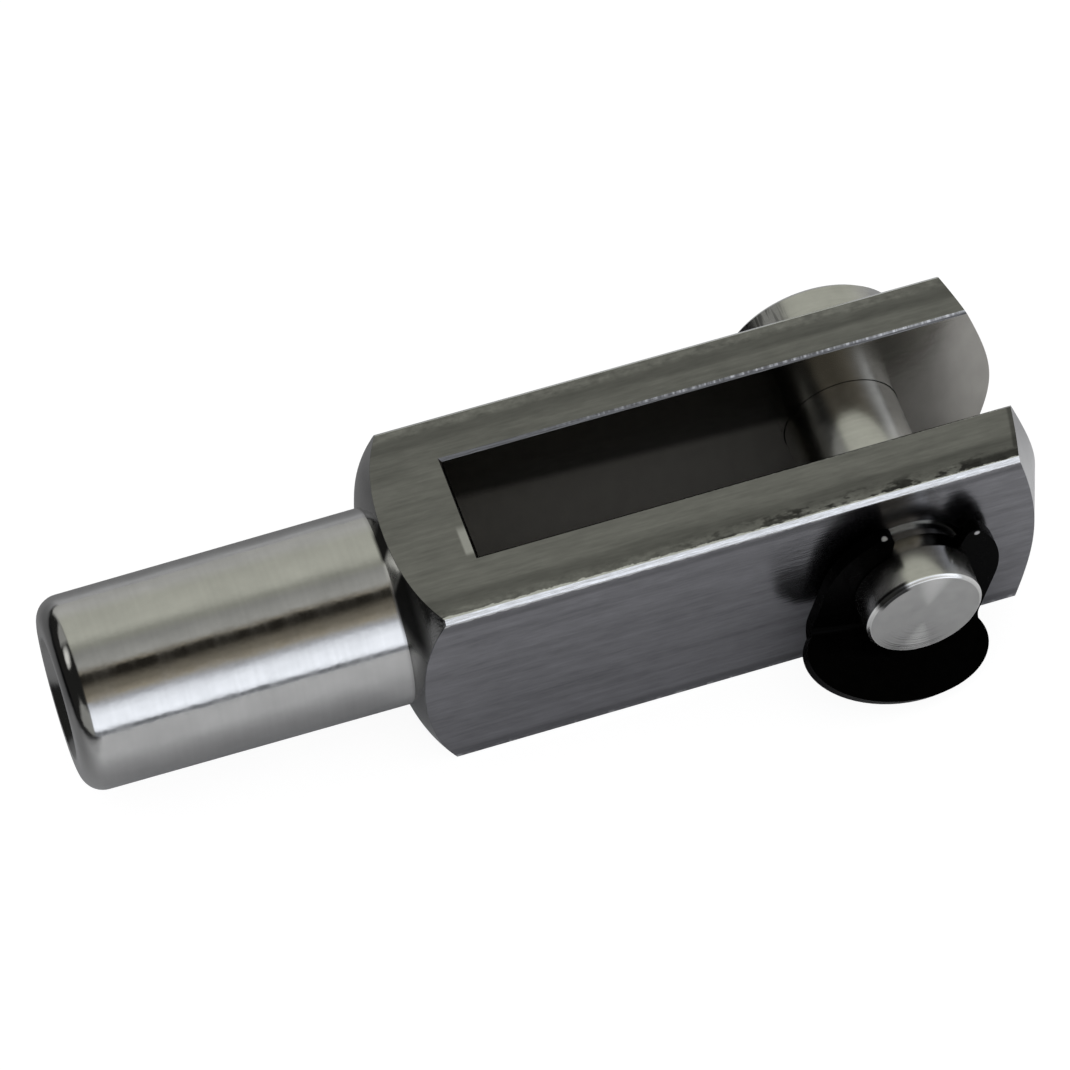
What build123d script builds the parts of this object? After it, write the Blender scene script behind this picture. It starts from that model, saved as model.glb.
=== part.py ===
from build123d import *
import os
from math import cos, radians, sin, sqrt, tan

# Clevis rod end: a fork cut from square bar with a turned, tapped shank, a
# headed pin across its ears and a spring clip in the groove of the pin.
# Frame, in mm: X along the shank towards the ears, Y along the pin towards
# its head, Z up. The origin is where the pin's axis crosses the bar's axis.

# ---- fork: square bar, ears and slot
bar_size = 16.0  # across the flats of the drawn bar
bar_edge_chamfer = 0.28  # along the bar's four long edges
slot_width = 8.0
slot_shift = 0.42  # the slot is milled this much nearer the pin's head
slot_reach = 27.6  # pin axis to the slot's bottom
web_length = 3.4  # slot bottom to the corners of the turned shoulder
ear_reach = 7.95  # pin axis to the corners of the ears' turned ends
ear_end_angle = 20.7  # lean of the turned ear ends from a flat face
slot_edge_chamfer = 0.2  # deburring along the slot's edges
bore_chamfer = 0.4  # countersink of the pin bore in both outer faces

# ---- fork: turned shoulder and shank
shoulder_depth = 2.3  # bar's corners back to where the shank starts
shoulder_radius = 9.1  # the shoulder is turned with this round profile
shank_diameter = 13.4
shank_taper = 0.2  # the shank is turned this much thinner at its end
shank_length = 24.65  # bar's corners to the shank's end face
shank_end_radius = 1.6

# ---- fork: tapped hole, drawn at its tapping-drill size
tap_drill_diameter = 6.8
tap_depth = 18.0
drill_point_angle = 118.0
tap_mouth_diameter = 8.4
tap_mouth_angle = 90.0

# ---- pin
pin_diameter = 8.0
running_clearance = 0.05  # radial, between pieces that turn in each other
end_float = 0.05  # axial, between pieces that turn against each other
head_diameter = 12.8
head_thickness = 2.95
head_chamfer = 0.3
groove_standoff = 0.75  # ear's outer face to the groove
groove_diameter = 6.4
button_length = 2.6  # groove to the pin's free end
button_chamfer = 0.2

# ---- clip: flat plate with two prongs round the groove
clip_thickness = 0.9
clip_width = 12.2  # across the plate, and the round outline of its prongs
clip_turn = 16.3  # how far the clip sits turned round the pin, in degrees
throat_width = 4.6  # narrowest gap between the prongs, less than the groove
throat_flare = 8.0  # lean of each side of the gap, outwards
prong_tip_radius = 0.6

# ---- clip: fold and thumb lip
fold_distance = 3.8  # pin axis to the start of the fold
fold_inner_radius = 0.6
fold_angle = 62.3
lip_width = 13.2
lip_shoulder = 1.3  # end of the fold to the lip's widest line
lip_nose = 3.7  # widest line to the tip, half an ellipse

# ---- worked out from the sizes above
half_bar = bar_size / 2
corner_radius = half_bar * sqrt(2)
shank_radius = shank_diameter / 2
pin_radius = pin_diameter / 2
bore_radius = pin_radius + running_clearance
shoulder_x = -slot_reach - web_length
shank_end_x = shoulder_x - shank_length
ear_tip_x = ear_reach + corner_radius * tan(radians(ear_end_angle))

os.makedirs("parts", exist_ok=True)

# ---------------------------------------------------------------- fork
with BuildPart() as fork:
    # what the lathe leaves: shank, round shoulder and leaning ear ends
    with BuildSketch(Plane.XY) as turned:
        with BuildLine():
            shank_line = Polyline(
                (ear_reach, corner_radius),
                (ear_tip_x, 0),
                (shank_end_x, 0),
                (shank_end_x, shank_radius - shank_taper / 2),
                (shoulder_x - shoulder_depth, shank_radius),
            )
            shoulder = RadiusArc(shank_line @ 1, (shoulder_x, corner_radius), shoulder_radius)
            Line(shoulder @ 1, shank_line @ 0)
        make_face()
        fillet(turned.vertices().group_by(Axis.X)[0].sort_by(Axis.Y)[-1], shank_end_radius)
    revolve(axis=Axis.X)
    # the drawn bar's flats
    with BuildSketch(Plane.YZ.offset(shank_end_x)) as section:
        Rectangle(bar_size, bar_size)
        chamfer(section.vertices(), bar_edge_chamfer)
    extrude(amount=ear_tip_x - shank_end_x, mode=Mode.INTERSECT)
    # slot between the ears
    with BuildSketch(Plane.XY.offset(-half_bar)):
        with Locations((-slot_reach, slot_shift)):
            Rectangle(slot_reach + ear_tip_x, slot_width, align=(Align.MIN, Align.CENTER))
    extrude(amount=bar_size, mode=Mode.SUBTRACT)
    slot_rim = fork.edges(Select.LAST).filter_by(Plane.XY).filter_by(GeomType.LINE)
    chamfer(slot_rim, slot_edge_chamfer)
    # pin bore through both ears, countersunk outside
    for side in (1, -1):
        outer_face = Plane(origin=(0, side * half_bar, 0), z_dir=(0, side, 0))
        with Locations(outer_face):
            CounterSinkHole(bore_radius, bore_radius + bore_chamfer, depth=half_bar)
    # tapped blind hole up the shank
    with BuildSketch(Plane.XY):
        with BuildLine():
            tap_radius = tap_drill_diameter / 2
            mouth_radius = tap_mouth_diameter / 2
            mouth_depth = (mouth_radius - tap_radius) / tan(radians(tap_mouth_angle / 2))
            point_depth = tap_radius / tan(radians(drill_point_angle / 2))
            Polyline(
                (shank_end_x, 0),
                (shank_end_x, mouth_radius),
                (shank_end_x + mouth_depth, tap_radius),
                (shank_end_x + tap_depth, tap_radius),
                (shank_end_x + tap_depth + point_depth, 0),
                close=True,
            )
        make_face()
    revolve(axis=Axis.X, mode=Mode.SUBTRACT)
fork.part.label = "fork"
export_step(fork.part, "parts/fork.step")

# ---------------------------------------------------------------- pin
head_under_y = half_bar + end_float
head_top_y = head_under_y + head_thickness
head_radius = head_diameter / 2
groove_radius = groove_diameter / 2
groove_back_y = -half_bar - groove_standoff
groove_width = clip_thickness + 2 * end_float
groove_front_y = groove_back_y - groove_width
free_end_y = groove_front_y - button_length

with BuildPart() as pin:
    # half section: button, groove, shank and head
    with BuildSketch(Plane.XY):
        with BuildLine():
            Polyline(
                (0, free_end_y),
                (pin_radius - button_chamfer, free_end_y),
                (pin_radius, free_end_y + button_chamfer),
                (pin_radius, groove_front_y),
                (groove_radius, groove_front_y),
                (groove_radius, groove_back_y),
                (pin_radius, groove_back_y),
                (pin_radius, head_under_y),
                (head_radius, head_under_y),
                (head_radius, head_top_y - head_chamfer),
                (head_radius - head_chamfer, head_top_y),
                (0, head_top_y),
                close=True,
            )
        make_face()
    revolve(axis=Axis.Y)
pin.part.label = "pin"
export_step(pin.part, "parts/pin.step")

# ---------------------------------------------------------------- clip
# The plate's plane has its X across the clip, its Y up towards the throat
# and its Z outwards, away from the ear; its origin is on the pin's axis.
turn = radians(clip_turn)
plate_plane = Plane(
    origin=(0, groove_back_y - end_float, 0),
    x_dir=(cos(turn), 0, -sin(turn)),
    z_dir=(0, -1, 0),
)
clip_radius = clip_width / 2
seat_radius = groove_radius + running_clearance
half_throat = throat_width / 2
throat_start = sqrt(seat_radius**2 - half_throat**2)
half_mouth = half_throat + (clip_radius - throat_start) * tan(radians(throat_flare))

# the fold turns about an axis across the clip, out in front of the plate
fold_axis_origin = plate_plane.from_local_coords(
    (0, -fold_distance, clip_thickness + fold_inner_radius)
)
fold_start = Plane(
    origin=plate_plane.from_local_coords((0, -fold_distance, 0)),
    x_dir=plate_plane.x_dir,
    z_dir=-plate_plane.y_dir,
)
bend = radians(fold_angle)
to_back_face = -plate_plane.z_dir * cos(bend) - plate_plane.y_dir * sin(bend)
lip_plane = Plane(
    origin=fold_axis_origin + to_back_face * (fold_inner_radius + clip_thickness),
    x_dir=plate_plane.x_dir,
    z_dir=-to_back_face,
)

with BuildPart() as clip:
    # flat plate: keyhole seat, throat and two rounded prongs
    with BuildSketch(plate_plane) as plate:
        Circle(clip_radius)
        with Locations((0, -fold_distance / 2)):
            Rectangle(clip_width, fold_distance)
        Circle(seat_radius, mode=Mode.SUBTRACT)
        with BuildLine():
            Polyline(
                (-half_throat, throat_start),
                (-half_mouth, clip_radius),
                (half_mouth, clip_radius),
                (half_throat, throat_start),
                close=True,
            )
        make_face(mode=Mode.SUBTRACT)
        prong_corners = plate.vertices().filter_by(lambda v: v.Y > 0).sort_by(Axis.Y)
        fillet(prong_corners[-2:], prong_tip_radius)
    extrude(amount=clip_thickness)
    # fold at the plate's lower edge
    with BuildSketch(fold_start):
        with Locations((0, clip_thickness / 2)):
            Rectangle(clip_width, clip_thickness)
    revolve(axis=Axis(fold_axis_origin, -plate_plane.x_dir), revolution_arc=fold_angle)
    # thumb lip, wider than the plate and rounded
    with BuildSketch(lip_plane):
        half_lip = lip_width / 2
        sway = -lip_shoulder / 2
        with BuildLine():
            nose = EllipticalCenterArc(
                (0, -lip_shoulder), half_lip, lip_nose, start_angle=180, arc_size=180
            )
            Bezier(nose @ 1, (half_lip, sway), (clip_radius, 0))
            Line((clip_radius, 0), (-clip_radius, 0))
            Bezier((-clip_radius, 0), (-half_lip, sway), nose @ 0)
        make_face()
    extrude(amount=clip_thickness)
clip.part.label = "clip"
export_step(clip.part, "parts/clip.step")
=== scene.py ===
from math import cos, pi, sin

import bpy
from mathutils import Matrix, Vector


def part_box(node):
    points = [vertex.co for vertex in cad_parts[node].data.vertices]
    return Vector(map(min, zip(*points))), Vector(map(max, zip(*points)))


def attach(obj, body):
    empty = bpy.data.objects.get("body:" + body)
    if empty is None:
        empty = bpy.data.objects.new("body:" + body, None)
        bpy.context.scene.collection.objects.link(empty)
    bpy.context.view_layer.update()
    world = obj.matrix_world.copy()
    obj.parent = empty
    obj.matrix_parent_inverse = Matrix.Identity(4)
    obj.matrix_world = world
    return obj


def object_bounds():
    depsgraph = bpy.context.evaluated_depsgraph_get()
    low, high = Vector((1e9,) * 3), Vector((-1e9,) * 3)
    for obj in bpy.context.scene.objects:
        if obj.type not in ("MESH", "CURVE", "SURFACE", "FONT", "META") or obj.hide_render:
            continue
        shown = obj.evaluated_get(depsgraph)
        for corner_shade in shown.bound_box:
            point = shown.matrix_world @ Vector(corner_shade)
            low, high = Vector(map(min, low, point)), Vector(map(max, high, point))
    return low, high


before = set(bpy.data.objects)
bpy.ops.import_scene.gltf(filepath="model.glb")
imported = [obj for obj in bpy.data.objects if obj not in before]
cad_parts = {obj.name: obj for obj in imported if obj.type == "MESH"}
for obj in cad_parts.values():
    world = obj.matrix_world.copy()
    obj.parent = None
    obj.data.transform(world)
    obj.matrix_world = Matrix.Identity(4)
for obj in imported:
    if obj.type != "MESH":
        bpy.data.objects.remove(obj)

cad_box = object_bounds()
scene = bpy.context.scene
scene.view_settings.view_transform = "Standard"

# ---------------------------------------------------------------- studio
# A white table in a light tent: a long low window in front, a grey ceiling
# with a dark gap in it, and the camera in that gap.
view = bpy.data.cameras.new("view")
view.sensor_width = 36.0
view.lens = 224.785
view.clip_start = 0.05
view.clip_end = 20.0
camera = bpy.data.objects.new("view", view)
camera.location = (-0.0866151, -0.2430768, 0.3628670)
camera.rotation_euler = (0.60880763, 0.03728173, -0.31015716)
scene.collection.objects.link(camera)
scene.camera = camera


class Wire:
    """A socket of a shader: sums, products and the like on it add Math nodes."""

    def __init__(self, tree, socket=None):
        self.tree = tree
        self.socket = socket

    def node(self, kind, settings=None, values=None, output=0):
        """Adds a node, with its settings first and then its sockets' values or links."""
        made = self.tree.nodes.new(kind)
        for name, setting in (settings or {}).items():
            if name == "stops":
                ramp = made.color_ramp
                while len(ramp.elements) < len(setting):
                    ramp.elements.new(1.0)
                for element, (place, colour) in zip(ramp.elements, setting):
                    element.position = place
                    element.color = (*colour, 1.0)
            else:
                setattr(made, name, setting)
        for name, value in (values or {}).items():
            if isinstance(value, Wire):
                self.tree.links.new(value.socket, made.inputs[name])
            else:
                made.inputs[name].default_value = value
        return Wire(self.tree, made.outputs[output]) if made.outputs else None

    def beside(self, output):
        """Another output of the same node, by its name or number."""
        return Wire(self.tree, self.socket.node.outputs[output])

    def math(self, operation, *values):
        return self.node("ShaderNodeMath", {"operation": operation}, dict(enumerate(values)))

    def __add__(self, other):
        return self.math("ADD", self, other)

    def __sub__(self, other):
        return self.math("SUBTRACT", self, other)

    def __rsub__(self, other):
        return self.math("SUBTRACT", other, self)

    def __mul__(self, other):
        return self.math("MULTIPLY", self, other)

    def __truediv__(self, other):
        return self.math("DIVIDE", self, other)

    def __neg__(self):
        return self.math("MULTIPLY", self, -1.0)

    def __abs__(self):
        return self.math("ABSOLUTE", self)

    __radd__ = __add__
    __rmul__ = __mul__

    def larger(self, other):
        return self.math("MAXIMUM", self, other)

    def root(self):
        return self.math("SQRT", self)

    def rise(self, start, end):
        """0 before start and 1 after end, or the other way round, smooth between."""
        values = {"Value": self, "From Min": start, "From Max": end}
        if start > end:
            values = {"Value": self, "From Min": end, "From Max": start}
            values.update({"To Min": 1.0, "To Max": 0.0})
        return self.node("ShaderNodeMapRange", {"interpolation_type": "SMOOTHSTEP"}, values)

    def band(self, start, full, fade, end):
        """0 before start, 1 from full to fade and 0 after end, smooth between."""
        return self.rise(start, full) * self.rise(end, fade)

    def split(self):
        """The X, Y and Z of a vector."""
        first = self.node("ShaderNodeSeparateXYZ", None, {0: self})
        return first, first.beside("Y"), first.beside("Z")

    def tinted(self, red, green, blue):
        """A colour from this shade and its parts of red, green and blue."""
        values = {0: self * red, 1: self * green, 2: self * blue}
        return self.node("ShaderNodeCombineColor", None, values)

    def blend(self, other, amount):
        """This colour turned into the other one by amount, a mask or a number."""
        values = {0: amount, 6: self, 7: other}
        return self.node("ShaderNodeMix", {"data_type": "RGBA"}, values, output=2)


def grey(value, tint=(1.0, 1.0, 1.0)):
    return (value * tint[0], value * tint[1], value * tint[2], 1.0)


# the tent's cloth: the angle in degrees round the object's long axis, from straight
# down behind, over the top, to straight down in front, with its lightness and tint
world = bpy.data.worlds.new("tent")
scene.world = world
world.use_nodes = True
world.node_tree.nodes.clear()
air = Wire(world.node_tree)
degrees = 180.0 / pi
full_turn = 360.0
across, depth, up = air.node("ShaderNodeTexCoord", output="Generated").split()
round_angle = air.math("ARCTAN2", -depth, up) * degrees
plain_white = (1.0, 1.0, 1.0)
warm = (1.0, 1.0, 0.96)
olive = (0.99, 1.0, 0.88)
brown = (1.0, 0.90, 0.72)
cool = (0.94, 0.975, 1.06)
tent_bands = [
    # the back wall
    (-180, 0.30, plain_white), (-122, 0.30, warm), (-106, 0.40, warm), (-90, 0.53, warm),
    (-74, 0.59, warm), (-58, 0.57, olive), (-42, 0.61, olive), (-30, 0.63, olive),
    # the ceiling
    (-24, 0.58, olive), (-16, 0.37, olive), (-8, 0.36, warm), (0, 0.44, warm), (8, 0.50, warm),
    (14, 0.30, brown), (38, 0.22, brown), (45, 0.42, brown),
    # the window, its dark sill and the wall under it
    (52, 0.58, cool), (58, 1.15, cool), (66, 1.50, cool), (79, 1.68, cool), (83, 1.45, cool),
    (85, 0.16, cool), (88, 0.22, cool), (92, 0.62, cool), (180, 0.40, cool),
]
stops = []
for angle, shade, tint in tent_bands:
    stops.append((angle / full_turn + 0.5, tuple(shade * part for part in tint)))
place_round = round_angle / full_turn + 0.5
bands = air.node("ShaderNodeValToRGB", {"stops": stops}, {"Fac": place_round})

# the dark gap in the ceiling
gap_shade = 0.015
gap_cover = 0.97
gap = round_angle.band(13, 17, 23, 38) * abs(across).rise(0.55, 0.40)
bands = bands.blend(grey(gap_shade, brown), gap * gap_cover)

# the left end is dark cloth, paler towards its two sides, with one round lamp
dark_shade = 0.02
paler_shade = 0.36
lamp_shade = 1.0
lamp_depth = 0.25
lamp_up = 0.62
lamp_size = 0.25
lamp_core = lamp_size * 0.2
left_end = across.rise(-0.28, -0.45)
bands = bands.blend(grey(dark_shade, warm), left_end)
paler_behind = depth.rise(0.42, 0.56) * up.rise(0.30, 0.44)
paler_in_front = depth.rise(-0.35, -0.55) * up.rise(0.56, 0.40)
bands = bands.blend(grey(paler_shade, warm), left_end * (paler_behind + paler_in_front))
off_depth = depth - lamp_depth
off_up = up - lamp_up
off_lamp = (off_depth * off_depth + off_up * off_up).root()
lamp = off_lamp.rise(lamp_size, lamp_core) * across.rise(-0.4, -0.6)
bands = bands.blend(grey(lamp_shade, warm), lamp)

# metal mirrors the tent, soft light comes evenly from all of it, the camera sees white
even_shade = 0.80
seen = air.node("ShaderNodeLightPath", output="Is Camera Ray")
scattered = seen.beside("Is Diffuse Ray")
tent = air.node("ShaderNodeBackground", None, {"Color": bands})
even = air.node("ShaderNodeBackground", None, {"Color": grey(even_shade)})
paper = air.node("ShaderNodeBackground", None, {"Color": grey(1.0)})
lit = air.node("ShaderNodeMixShader", None, {0: scattered, 1: tent, 2: even})
both = air.node("ShaderNodeMixShader", None, {0: seen, 1: lit, 2: paper})
air.node("ShaderNodeOutputWorld", None, {"Surface": both})

# the table lies a hair under the object
table_half = 1.2
table_gap = 0.00002
table_z = cad_box[0][2] - table_gap
table_corners = []
for side_x, side_y in ((-1, -1), (1, -1), (1, 1), (-1, 1)):
    table_corners.append((side_x * table_half, side_y * table_half, table_z))
table_mesh = bpy.data.meshes.new("table")
table_mesh.from_pydata(table_corners, [], [(0, 1, 2, 3)])
table = bpy.data.objects.new("table", table_mesh)
scene.collection.objects.link(table)
table_paint = bpy.data.materials.new("table_paint")
table_paint.use_nodes = True
table_paint.node_tree.nodes.clear()
top = Wire(table_paint.node_tree)

# what metal mirrors of the table, by the place on it in mm: white in front, with
# shade painted beside, behind and under the object and towards the tent's left end
mm = 1000.0
spot_x, spot_y, _ = top.node("ShaderNodeTexCoord", output="Object").split()
along = spot_x * mm
back = spot_y * mm
beside_bar_dark = 0.18
beside_shank_dark = 0.45
close_behind = 0.34
far_behind = 0.74
behind_ears = 0.68
shadow_under_dark = 0.62
past_shank_dark = 0.3
left_end_dark = 0.96
side_dark = along.rise(-31, -36) * (beside_shank_dark - beside_bar_dark) + beside_bar_dark
in_front = 1 - (-back).rise(26, 6) * side_dark * along.rise(14, 2)
behind = back.rise(10, 110) * (far_behind - close_behind) + close_behind
behind = behind + along.rise(-28, -12) * (behind_ears - behind)
lightness = in_front + (behind - in_front) * back.rise(0, 6)
# painted shadow on the table under the bar
shadow_under = abs(back).rise(9.0, 7.0) * along.band(-32, -30, 1, 4)
past_shank = along.rise(-56, -68)
at_left_end = along.rise(-66, -115)
lightness = lightness * (1 - shadow_under * shadow_under_dark) * (1 - past_shank * past_shank_dark)
lightness = lightness * (1 - at_left_end * left_end_dark)
plain = top.node("ShaderNodeBsdfDiffuse", None, {"Color": lightness.tinted(0.83, 0.83, 0.85)})

# what the camera sees of the table: glowing white, with a trace of the real shadow
shadow_part = 0.16
glow_part = 0.92
faint = top.node("ShaderNodeBsdfDiffuse", None, {"Color": grey(shadow_part)})
glow = top.node("ShaderNodeEmission", None, {"Color": grey(glow_part)})
white = top.node("ShaderNodeAddShader", None, {0: faint, 1: glow})
seen = top.node("ShaderNodeLightPath", output="Is Camera Ray")
either = top.node("ShaderNodeMixShader", None, {0: seen, 1: plain, 2: white})

# clear from below, so that the underside shows there, and where a face touches it
from_below = top.node("ShaderNodeNewGeometry", output="Backfacing")
ray_mm = seen.beside("Ray Length") * mm
touching = ray_mm.rise(0.12, 0.08) * (1 - seen)
glass = top.node("ShaderNodeBsdfTransparent")
clear = from_below.larger(touching)
surface = top.node("ShaderNodeMixShader", None, {0: clear, 1: either, 2: glass})
top.node("ShaderNodeOutputMaterial", None, {"Surface": surface})
table_mesh.materials.append(table_paint)


# ---------------------------------------------------------------- fork
# The fork is one piece of free-cutting steel: drawn square bar with its dark
# lengthwise lines, turned bright at the shank, the shoulder and the ears' ends,
# and milled through for the slot.
def new_finish(name):
    """A new material, its shader, and the place on the object in mm along X, Y and Z."""
    material = bpy.data.materials.new(name)
    material.use_nodes = True
    material.node_tree.nodes.clear()
    start = Wire(material.node_tree)
    shader = start.node("ShaderNodeBsdfPrincipled")
    start.node("ShaderNodeOutputMaterial", None, {"Surface": shader})
    spot = start.node("ShaderNodeTexCoord", output="Object")
    place = [part * mm for part in spot.split()]
    return material, shader, place


def lay(shader, **values):
    """Sets the shader's sockets: Base_Color=..., Roughness=... and so on."""
    for name, value in values.items():
        socket = shader.socket.node.inputs[name.replace("_", " ")]
        if isinstance(value, Wire):
            shader.tree.links.new(value.socket, socket)
        else:
            socket.default_value = value


def speckle(x, y, z, scale=1.0, detail=2.0, rough=0.5):
    """Noise from 0 to 1 at a place that may be stretched or squeezed first."""
    spot = x.node("ShaderNodeCombineXYZ", None, {0: x, 1: y, 2: z})
    values = {"Vector": spot, "Scale": scale, "Detail": detail, "Roughness": rough}
    return spot.node("ShaderNodeTexNoise", None, values)


def swing(noise, reach):
    """A noise's swing about its middle, times reach."""
    return (noise - 0.5) * reach


def bumped(height):
    """The normals of a surface with this height in mm."""
    return height.node("ShaderNodeBump", None, {"Distance": 1 / mm, "Height": height})


def dress(name, finish):
    """Gives one of the frame's solids its finish, and returns it."""
    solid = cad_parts[name]
    solid.data.materials.clear()
    solid.data.materials.append(finish)
    return solid


# sizes in mm: the bar, the slot and its rim, the ears' turned ends and the bore
bar_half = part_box("fork")[1][1] * mm
edge_chamfer = 0.28
slot_middle = 0.42
slot_half = 4.0
slot_bottom = -27.6
rim_width = 0.2
rim_line = slot_half + rim_width
rim_top = bar_half - rim_width
rim_end = slot_bottom - rim_width
ear_corner_x = 7.95
ear_corner_radius = 11.31
ear_lean = 0.378
bore_radius = 3.4

# distances that the finishes are placed by, and the side that the clip is on
fork_finish, fork_shader, (x, y, z) = new_finish("fork_steel_finish")
outer = abs(y).larger(abs(z))
corner_in = 2 * bar_half - abs(y) - abs(z)
radial = (y * y + z * z).root()
from_slot = abs(y - slot_middle)
front = (-y).rise(0, 1)

# where each finish lies: drawn flats, their chamfered corners, the slot's rim and
# milled walls, and the bore
drawn = outer.rise(bar_half - 0.10, bar_half - 0.02)
facet = corner_in.rise(edge_chamfer + 0.03, edge_chamfer + 0.01)
rim = from_slot.rise(rim_line + 0.04, rim_line) * x.rise(rim_end - 0.03, rim_end)
rim = rim * abs(z).rise(rim_top - 0.02, rim_top + 0.02)
milled = from_slot.rise(slot_half + 0.03, slot_half + 0.01)
milled = milled * x.rise(slot_bottom - 0.05, slot_bottom)
milled = milled * abs(z).rise(rim_top + 0.02, rim_top - 0.02)
bore = radial.rise(bore_radius + 0.07, bore_radius + 0.04) * x.rise(-30.0, -31.0)

# the bar's long edges: a bright band along the front upper one, partly burr and
# partly painted highlight of a rounded edge, a little wider towards the shank,
# and bright crumbs along the front lower one
burr_highlight_width = 0.08
burr_highlight_widening = 0.003
burr_highlight_raggedness = 0.45
burr_highlight_strength = 0.8
crumb_strength = 0.7
ragged = speckle(x * 0.5, y, z, scale=3.0, detail=3.0, rough=0.65)
burr_highlight_reach = edge_chamfer + burr_highlight_width - x * burr_highlight_widening
# painted highlight of a rounded edge, ragged like a burr
burr_and_highlight = ((corner_in + swing(ragged, burr_highlight_raggedness)) / burr_highlight_reach).rise(1.12, 0.92)
burr_and_highlight = burr_and_highlight * front * z.rise(-1, 1) * burr_highlight_strength
crumb_noise = speckle(x * 0.5, y * 0.2, z * 0.2, scale=2.6, detail=3.0, rough=0.6)
crumbs = crumb_noise.rise(0.48, 0.66) * corner_in.rise(0.62, 0.34) * front * z.rise(1, -1)
edge = facet.larger(burr_and_highlight.larger(crumbs * crumb_strength))

# drawn flats: long lines of different widths, all along the bar, with the sides
# painted lighter and cooler as if more lit, and painted shade in a mottled strip
# beside each long edge
drawn_grey = 0.185
drawn_contrast = 0.13
shade_beside_edge_dark = 0.26
painted_side_light = 0.20
painted_side_cool = 0.07
side_narrowing = 0.7
mottle_strength = 0.22
wide = speckle(x * 0.012, y, z, scale=0.55, detail=2.0)
lines = speckle(x * 0.05, y, z, scale=2.0, detail=3.0, rough=0.6)
hairs = speckle(x * 0.14, y, z, scale=5.5, detail=2.0, rough=0.6)
cloud = speckle(x * 0.35, y * 0.7, z * 0.7, scale=1.3, detail=3.0)
tone = swing(wide, 0.7) + swing(lines, 0.9) + swing(hairs, 0.6) + swing(cloud, 0.5)
drawn_shade = tone * drawn_contrast + drawn_grey
side_face = abs(y).rise(bar_half - 0.10, bar_half - 0.05)
from_corner = corner_in * (1 + side_face * side_narrowing)
shade_beside_edge = from_corner.band(0.7, 1.3, 1.7, 2.3)
# painted shade in a strip beside each long edge
drawn_shade = drawn_shade * (1 - shade_beside_edge * shade_beside_edge_dark)
# the sides painted lighter, as if more lit
drawn_shade = drawn_shade * (side_face * painted_side_light + 1)
mottled = speckle(x, y * 1.6, z * 1.6, scale=1.6, detail=3.0, rough=0.6)
drawn_shade = drawn_shade + swing(mottled, from_corner.rise(1.3, 0.8)) * mottle_strength

# darker marks beside the upper edge in front, a dark patch on it near the ears' ends and a dark
# line at its end
mark_dark = 0.78
dark_patch_strength = 0.9
end_line_strength = 0.6
mark_noise = speckle(x * 0.55, y * 1.2, z * 1.2, scale=1.4, detail=3.0, rough=0.6)
on_top = z.rise(bar_half - 0.10, bar_half - 0.05)
dark_marks = mark_noise.rise(0.46, 0.60) * corner_in.rise(1.6, 0.7) * x.rise(-26.0, -4.0)
dark_patch = x.rise(4.0, 5.0) * corner_in.rise(1.2, 0.8) * dark_patch_strength
to_ear_end = (ear_corner_radius - radial) * ear_lean + ear_corner_x - x
end_line = to_ear_end.rise(0.40, 0.20) * end_line_strength
dark_marks = dark_marks.larger(dark_patch.larger(end_line)) * (on_top * front)
drawn_shade = drawn_shade * (1 - dark_marks * mark_dark)
# the sides painted a cooler tint, as if lit by a bluer light
drawn_colour = drawn_shade.tinted(1.0, 1.0, side_face * painted_side_cool + 0.98)

# turned steel: fine rings and a soft smear, a duller shoulder, and painted shade
# in the corner between shank and shoulder, black on its upper side, with one painted highlight in
# it
turned_grey = 0.54
shoulder_dark = 0.14
ear_end_dark = 0.10
corner_shade_dark = 0.35
black_corner_shade_dark = 0.92
corner_highlight_lift = 0.60
turned_tone = speckle(x, y * 0.05, z * 0.05, scale=3.0, detail=3.0)
smear = speckle(x * 0.4, y * 0.5, z * 0.5, scale=1.1, detail=3.0)
shoulder = x.band(-33.4, -32.6, -28.0, -27.0)
corner_shade = x.band(-33.6, -33.2, -32.8, -31.9) * (1 - drawn)
# painted highlight of a lamp in the corner
corner_highlight = corner_shade * z.rise(5.5, 6.5) * y.band(-3.5, -2.9, -1.5, -0.9)
# painted black shade on the corner's upper side
black_corner_shade = (corner_shade - corner_highlight) * z.rise(3.2, 5.4) * y.rise(1.8, 0.6)
turned_shade = swing(turned_tone, 0.06) + swing(smear, 0.14) + turned_grey
turned_shade = turned_shade - shoulder * shoulder_dark
# painted shade in the corner between shank and shoulder
turned_shade = turned_shade * (1 - corner_shade * corner_shade_dark) * (1 - black_corner_shade * black_corner_shade_dark)
turned_shade = turned_shade + corner_highlight * corner_highlight_lift - x.rise(6.0, 7.0) * ear_end_dark
colour = turned_shade.tinted(1.0, 1.0, 0.98).blend(drawn_colour, drawn)

# milled slot: pale, with painted shade in its upper part, and painted a little
# darker towards the ears' ends and round the pin, as shade
milled_grey = 0.58
upper_wall_shade_dark = 0.74
upper_shade_slope = 0.07
ears_shade_dark = 0.14
round_pin_shade_dark = 0.30
milled_tone = speckle(x * 0.5, y, z * 0.2, scale=2.0, detail=3.0)
milled_shade = swing(milled_tone, 0.12) + milled_grey
# painted shade in the upper part of the slot's walls
upper_wall_shade = (z + x * upper_shade_slope).rise(0.8, 2.0) * x.rise(-1.0, -5.0)
# painted shade there and towards the ears' ends
milled_shade = milled_shade * (1 - upper_wall_shade * upper_wall_shade_dark) - x.rise(-7.0, 0.0) * ears_shade_dark
# painted shade round the pin
round_pin_shade = x.band(-5.0, -1.0, 6.0, 9.0)
milled_shade = milled_shade * (1 - round_pin_shade * round_pin_shade_dark)
colour = colour.blend(milled_shade.tinted(1.03, 1.0, 0.92), milled)

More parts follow.
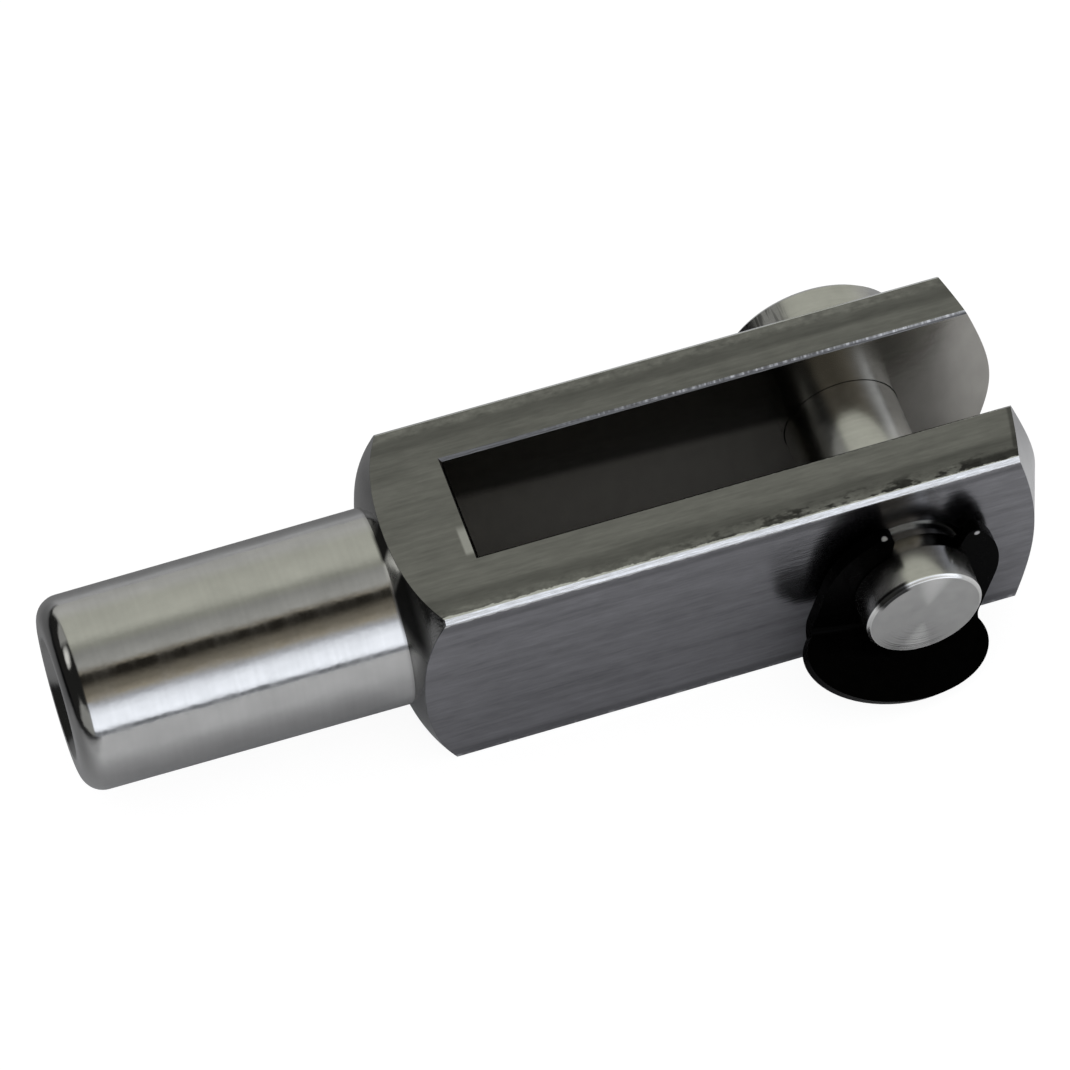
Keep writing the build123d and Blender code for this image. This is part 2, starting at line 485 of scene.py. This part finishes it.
# the slot's rim carries a speckled burr, painted brighter towards the ears as a
# highlight, and a small highlight is painted beside its front corner
rim_grey = 0.13
rim_bright = 0.32
highlight_at_ears = 0.5
slot_corner_highlight_grey = 0.42
dots = speckle(x, 0.0, 0.0, scale=3.0, detail=3.0).rise(0.42, 0.66)
# painted highlight on the rim, brighter towards the ears
dots = dots + x.rise(-4.0, 6.0) * highlight_at_ears
rim_outside = from_slot.rise(slot_half + 0.06, slot_half + 0.12)
rim_shade = dots * x.rise(-24.0, -8.0) * rim_outside * rim_bright + rim_grey
colour = colour.blend(rim_shade.tinted(1.0, 1.0, 1.0), rim)
# painted highlight beside the slot's front corner
slot_corner_highlight = x.band(-28.45, -28.25, -27.85, -27.75) * y.band(-3.5, -3.1, -1.6, -0.8)
colour = colour.blend(grey(slot_corner_highlight_grey), slot_corner_highlight * on_top)

# bright edges, and the bore painted dark as shade
edge_grey = 0.76
bore_shade_grey = 0.12
edge_shade = swing(ragged, 0.35) + edge_grey
colour = colour.blend(edge_shade.tinted(0.99, 1.0, 1.0), edge)
# painted shade inside the bore
colour = colour.blend(grey(bore_shade_grey), bore)

# the drawn flats are duller than the polished steel, and the lathe left dull stains
polished_rough = 0.10
drawn_rough = 0.12
edge_rough = 0.12
milled_rough = 0.10
black_corner_rough = 0.5
corner_highlight_rough = 0.15
least_rough = 0.06
stain_middle = 0.42
stain_strength = 0.34
roughness = drawn * (1 - edge) * drawn_rough + polished_rough
lathe = speckle(x * 0.7, y * 0.15, z * 0.15, scale=1.0, detail=3.0, rough=0.6)
stains = (lathe - stain_middle) * (1 - drawn) * (1 - milled) * stain_strength
roughness = roughness + edge * edge_rough + milled * milled_rough + stains
roughness = roughness.larger(least_rough) + black_corner_shade * black_corner_rough + corner_highlight * corner_highlight_rough

# grooves of the drawn lines, turning rings and a slight waver, heights in mm
line_height = 0.02
ring_height = 0.002
waver_height = 0.018
lined = outer.rise(bar_half - 0.8, bar_half - 0.4)
height = lined * (lines * 0.6 + hairs * 0.4) * line_height
turning = speckle(x, y * 0.02, z * 0.02, scale=9.0, detail=2.0)
turning = turning * (1 - lined) * ring_height
waver = smear * (1 - lined) * waver_height
bump = bumped(height + turning + waver)
lay(fork_shader, Base_Color=colour, Metallic=1.0, Roughness=roughness, Normal=bump)
fork = dress("fork", fork_finish)

# ---------------------------------------------------------------- thread
# The shank's bore is tapped: the cut thread is a ridge of the fork's own steel
# that winds down the bore. It is left bright by the tap.
thread_pitch = 1.25
thread_root = 3.41
thread_crest = 3.12
first_turn_in = 0.9
thread_start_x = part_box("fork")[0][0] * mm + first_turn_in
thread_turns = 13
steps_a_turn = 40
foot = 0.50
crest = 0.10
ridge = [(-foot, thread_root), (-crest, thread_crest), (crest, thread_crest), (foot, thread_root)]
ridge_points = len(ridge)
points = []
faces = []
for step in range(thread_turns * steps_a_turn + 1):
    angle = step * 2 * pi / steps_a_turn
    reach = thread_start_x + step * thread_pitch / steps_a_turn
    for shift, radius in ridge:
        point = (reach + shift * thread_pitch, radius * cos(angle), radius * sin(angle))
        points.append(tuple(part / mm for part in point))
    if step:
        for side in range(ridge_points - 1):
            here = step * ridge_points + side
            before = here - ridge_points
            faces.append((here, here + 1, before + 1, before))
last = len(points) - ridge_points
faces.append((0, 1, 2, 3))
faces.append((last + 3, last + 2, last + 1, last))
thread_mesh = bpy.data.meshes.new("thread")
thread_mesh.from_pydata(points, [], faces)
thread = bpy.data.objects.new("thread", thread_mesh)
scene.collection.objects.link(thread)
thread_grey = 0.36
thread_rough = 0.22
torn_strength = 0.15
thread_finish, thread_shader, (x, y, z) = new_finish("thread_steel_finish")
torn = speckle(x * 3.0, y * 0.4, z * 0.4, scale=2.5, detail=3.0)
torn = torn * torn_strength
thread_colour = (torn + thread_grey).tinted(1.0, 1.0, 0.97)
lay(thread_shader, Base_Color=thread_colour, Metallic=1.0, Roughness=torn + thread_rough)
thread_mesh.materials.append(thread_finish)
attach(thread, "fork")

# ---------------------------------------------------------------- pin
# The pin is turned from bright round bar: head, shank, groove and button, with
# fine rings on both end faces.
pin_grey = 0.52
pin_polish = 0.22
rim_stain = 0.6
end_face_dark = 0.16
sheen_strength = 0.27
sheen_upright = 0.98
sheen_lean = 0.19
sheen_hub = 0.08
button_rim_highlight = 0.25
groove_shade_dark = 0.85
throat_lean = 0.1
throat_shift = 0.4
rim_crescent_shade_dark = 0.93
ring_depth = 0.006
end_ring_depth = 0.02
pin_finish, pin_shader, (x, y, z) = new_finish("pin_steel_finish")
pin_tone = speckle(x * 0.05, y, z * 0.05, scale=4.0, detail=3.0)
pin_cloud = speckle(x, y, z, scale=0.9, detail=3.0)
pin_shade = swing(pin_tone, 0.10) + swing(pin_cloud, 0.16) + pin_grey

# dark streaks round the left of the head's rim
streaks = speckle(x, y * 0.10, z, scale=3.0, detail=2.0, rough=0.6)
head_rim = y.band(8.0, 8.1, 10.65, 10.75)
stained = head_rim * streaks.rise(0.50, 0.62) * x.rise(-1.5, -3.5)
pin_shade = pin_shade * (1 - stained * rim_stain)

# the button's end face, with a painted sheen across its rings, and its rim
# painted bright as a highlight, with a painted dark crescent of shade in it
ring = (x * x + z * z).root()
end_face = y.rise(-12.2, -12.3)
along_sheen = abs(z * sheen_upright + x * sheen_lean)
sheen = (along_sheen / (ring + sheen_hub)).rise(0.90, 1.0) * end_face
button_rim = ring.rise(3.74, 3.80) * y.rise(-12.05, -12.15)
# painted sheen across the end face
pin_shade = pin_shade * (1 - end_face * end_face_dark) + sheen * sheen_strength
# painted highlight on the button's rim
pin_shade = pin_shade + button_rim * button_rim_highlight
pin_turn = x.math("ARCTAN2", x, z) * degrees
on_rim = ring.rise(3.42, 3.50) * y.rise(-11.85, -12.0)
# painted dark crescent of shade on the rim
rim_crescent_shade = pin_turn.band(-62, -50, -22, -14) * on_rim

# the groove is painted dark as shade where the clip's prongs reach round it
from_throat = abs(x - z * throat_lean + throat_shift)
groove_shade = y.band(-9.85, -9.75, -8.0, -7.9) * from_throat.rise(0.7, 1.5)
pin_shade = pin_shade * (1 - groove_shade * groove_shade_dark) * (1 - rim_crescent_shade * rim_crescent_shade_dark)
pin_colour = pin_shade.tinted(1.0, 1.0, 0.97)
rings = speckle(ring, 0.0, 0.0, scale=7.0, detail=3.0)
rings_height = rings * ring_depth + rings * end_face * end_ring_depth
bump = bumped(rings_height)
pin_rough = swing(pin_cloud, 0.12) + pin_polish
lay(pin_shader, Base_Color=pin_colour, Metallic=1.0, Roughness=pin_rough, Normal=bump)
pin = dress("pin", pin_finish)

# ---------------------------------------------------------------- clip
# The clip is stamped and folded spring steel with a glossy black finish, worn
# through to the steel in a few specks on its edges.
clip_finish, clip_shader, (x, y, z) = new_finish("clip_black_finish")
haze = speckle(x, y, z, scale=1.5, detail=3.0)


def fleck(x_at, y_at, z_at, size):
    """A small round chip in the black finish."""
    off_x = x - x_at
    off_y = y - y_at
    off_z = z - z_at
    off = (off_x * off_x + off_y * off_y + off_z * off_z).root()
    return off.rise(size, size * 0.4)


chips = fleck(4.5, -9.7, 3.6, 0.24) + fleck(-1.9, -9.6, 5.9, 0.30) + fleck(4.0, -9.7, 4.4, 0.15)
clip_black = 0.0001
haze_grey = 0.0008
chip_grey = 0.55
clip_gloss = 0.015
black_rough = 0.20
haze_rough = 0.12
chip_rough = 0.25
clip_rough = haze * haze_rough + chips * chip_rough + black_rough
clip_tone = haze * haze_grey + clip_black
clip_colour = (clip_tone + chips * chip_grey).tinted(1.0, 1.0, 1.0)
lay(clip_shader, Base_Color=clip_colour, Metallic=chips, Roughness=clip_rough)
lay(clip_shader, Specular_IOR_Level=clip_gloss)
clip = dress("clip", clip_finish)
